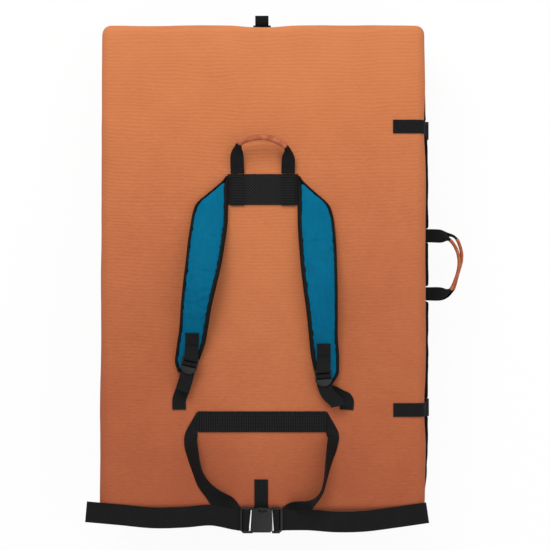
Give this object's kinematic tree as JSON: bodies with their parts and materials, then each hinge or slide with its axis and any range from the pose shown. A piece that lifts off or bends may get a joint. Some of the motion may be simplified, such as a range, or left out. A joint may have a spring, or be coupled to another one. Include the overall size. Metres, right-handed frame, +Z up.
{
  "type": "bouldering crash pad",
  "caption": "Folding bouldering crash pad, shut: two foam halves in fabric covers with a webbing carrying harness, waist belt, closure straps and handles.",
  "frame": {"origin": "centre of the flat ground face, under the back half of the shut pad", "axes": "+Z up, towards the carrying side; +Y along the pad towards the yoke and haul loop; +X away from the fold towards the opening side"},
  "size_m": [0.7002, 0.961, 0.2344],
  "materials": {
    "orange_cover_fabric": "woven, matt",
    "blue_strap_fabric": "woven, matt",
    "black_landing_fabric": "woven, matt",
    "black_webbing": "woven webbing, matt",
    "black_moulded_plastic": "moulded, satin",
    "orange_grip_fabric": "tubular fabric, matt",
    "open_cell_foam": "soft foam, matt",
    "closed_cell_foam": "firm foam, matt"
  },
  "bodies": {
    "back_half": {"back_cover": "orange_cover_fabric", "back_soft_foam": "open_cell_foam", "back_firm_foam": "closed_cell_foam", "back_landing_panel": "black_landing_fabric", "back_seam_binding": "black_webbing", "back_fold_tape": "orange_cover_fabric", "closure_right_upper_anchor": "black_webbing", "closure_right_upper_socket": "black_moulded_plastic", "closure_right_lower_anchor": "black_webbing", "closure_right_lower_socket": "black_moulded_plastic", "closure_top_anchor": "black_webbing", "closure_top_socket": "black_moulded_plastic", "closure_bottom_anchor": "black_webbing", "closure_bottom_socket": "black_moulded_plastic"},
    "carry_half": {"carry_cover": "orange_cover_fabric", "carry_soft_foam": "open_cell_foam", "carry_firm_foam": "closed_cell_foam", "carry_landing_panel": "black_landing_fabric", "carry_seam_binding": "black_webbing", "carry_fold_tape": "orange_cover_fabric", "closure_right_upper_strap": "black_webbing", "closure_right_upper_plug": "black_moulded_plastic", "closure_right_lower_strap": "black_webbing", "closure_right_lower_plug": "black_moulded_plastic", "closure_top_strap": "black_webbing", "closure_top_plug": "black_moulded_plastic", "closure_bottom_strap": "black_webbing", "closure_bottom_plug": "black_moulded_plastic", "yoke_patch": "black_webbing", "haul_left_anchor": "black_webbing", "haul_right_anchor": "black_webbing", "left_strap_shell": "black_webbing", "left_strap_foam": "closed_cell_foam", "left_strap_face": "blue_strap_fabric", "left_strap_tab": "black_webbing", "right_strap_shell": "black_webbing", "right_strap_foam": "closed_cell_foam", "right_strap_face": "blue_strap_fabric", "right_strap_tab": "black_webbing", "left_adjuster": "black_webbing", "right_adjuster": "black_webbing", "waist_band": "black_webbing", "left_belt_webbing": "black_webbing", "right_belt_webbing": "black_webbing", "waist_buckle_socket": "black_moulded_plastic", "waist_buckle_plug": "black_moulded_plastic"},
    "haul_loop": {"haul_loop_webbing": "black_webbing", "haul_loop_grip": "orange_grip_fabric"},
    "carry_handle": {"carry_handle_webbing": "black_webbing", "carry_handle_grip": "orange_grip_fabric"},
    "back_handle": {"back_handle_webbing": "black_webbing", "back_handle_grip": "orange_grip_fabric"},
    "left_lock": {"left_ladder_lock": "black_moulded_plastic", "left_adjuster_tail": "black_webbing"},
    "right_lock": {"right_ladder_lock": "black_moulded_plastic", "right_adjuster_tail": "black_webbing"},
    "waist_prong_upper": {"waist_prong_upper": "black_moulded_plastic"},
    "waist_prong_lower": {"waist_prong_lower": "black_moulded_plastic"}
  },
  "joints": [
    {"name": "fold_hinge", "type": "hinge", "parent": "back_half", "child": "carry_half", "pos_m": [-0.2986, 0, 0.0893], "axis": [0, -1, 0], "range_deg": [0, 180]},
    {"name": "haul_loop_swing", "type": "hinge", "parent": "carry_half", "child": "haul_loop", "pos_m": [0, 0.172, 0.18698], "axis": [1, 0, 0], "range_deg": [-20, 95]},
    {"name": "carry_handle_swing", "type": "hinge", "parent": "carry_half", "child": "carry_handle", "pos_m": [0.30105, 0.0077, 0.0926], "axis": [0, -1, 0], "range_deg": [0, 75]},
    {"name": "back_handle_swing", "type": "hinge", "parent": "back_half", "child": "back_handle", "pos_m": [0.30105, 0.0077, 0.086], "axis": [0, 1, 0], "range_deg": [0, 75]},
    {"name": "left_lock_tilt", "type": "hinge", "parent": "carry_half", "child": "left_lock", "pos_m": [-0.13084, -0.16485, 0.20612], "axis": [-0.9752, 0.2211, 0], "range_deg": [0, 30]},
    {"name": "right_lock_tilt", "type": "hinge", "parent": "carry_half", "child": "right_lock", "pos_m": [0.1096, -0.1869, 0.20517], "axis": [-0.9955, -0.0942, 0], "range_deg": [0, 30]},
    {"name": "waist_prong_upper_flex", "type": "hinge", "parent": "carry_half", "child": "waist_prong_upper", "pos_m": [0.01395, -0.4464, 0.1868], "axis": [0, 0, 1], "range_deg": [0, 8], "stiffness_Nm_per_rad": 0.05},
    {"name": "waist_prong_lower_flex", "type": "hinge", "parent": "carry_half", "child": "waist_prong_lower", "pos_m": [0.01395, -0.4736, 0.1868], "axis": [0, 0, -1], "range_deg": [0, 8], "stiffness_Nm_per_rad": 0.05}
  ],
  "couplings": [
    {"joint": "waist_prong_lower_flex", "follows": "waist_prong_upper_flex", "ratio": 1}
  ]
}
